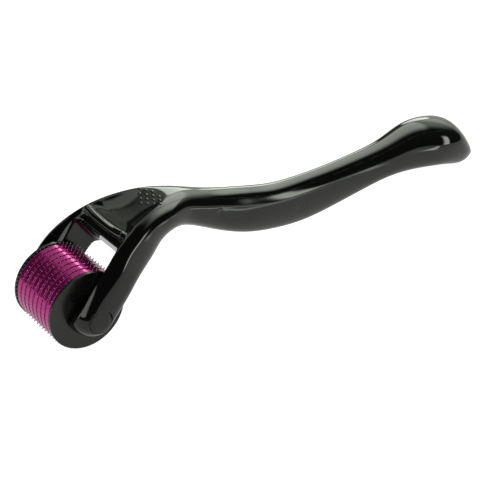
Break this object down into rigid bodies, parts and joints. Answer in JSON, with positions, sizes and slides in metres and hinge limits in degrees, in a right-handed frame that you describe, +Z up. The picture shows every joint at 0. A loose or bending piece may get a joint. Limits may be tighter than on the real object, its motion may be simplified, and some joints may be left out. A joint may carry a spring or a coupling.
{
  "type": "derma roller",
  "caption": "Needle roller with a drum of fine needle discs in a forked head and a long S-curved handle with a flared, downturned tail.",
  "frame": {"origin": "middle of the overall length and width, on the surface that the needle tips and the tail rest on", "axes": "+X from the drum to the tail, Y along the drum's axle, +Z up"},
  "size_m": [0.1521, 0.032, 0.0313],
  "materials": {
    "black_gloss": "gloss",
    "black_satin": "satin",
    "magenta_gloss": "gloss",
    "needle_steel": "polished",
    "steel": "satin"
  },
  "bodies": {
    "handle": {"handle_frame": "black_gloss", "top_cover": "black_gloss", "axle_pin": "steel", "axle_cap_near": "black_gloss", "axle_cap_far": "black_gloss", "thrust_washer_near": "steel", "thrust_washer_far": "steel"},
    "roller": {"roller_hub": "black_satin", "end_flange_near": "black_satin", "end_flange_far": "black_satin", "needle_disc_1": "needle_steel", "needle_disc_2": "needle_steel", "needle_disc_3": "needle_steel", "needle_disc_4": "needle_steel", "needle_disc_5": "needle_steel", "needle_disc_6": "needle_steel", "needle_disc_7": "needle_steel", "needle_disc_8": "needle_steel", "needle_disc_9": "needle_steel", "band_1": "magenta_gloss", "band_2": "magenta_gloss", "band_3": "magenta_gloss", "band_4": "magenta_gloss", "band_5": "magenta_gloss", "band_6": "magenta_gloss", "band_7": "magenta_gloss", "band_8": "magenta_gloss"}
  },
  "joints": [
    {"name": "roller_spin", "type": "hinge", "parent": "handle", "child": "roller", "pos_m": [-0.0644, 0, 0.0115], "axis": [0, 1, 0], "continuous": true}
  ]
}
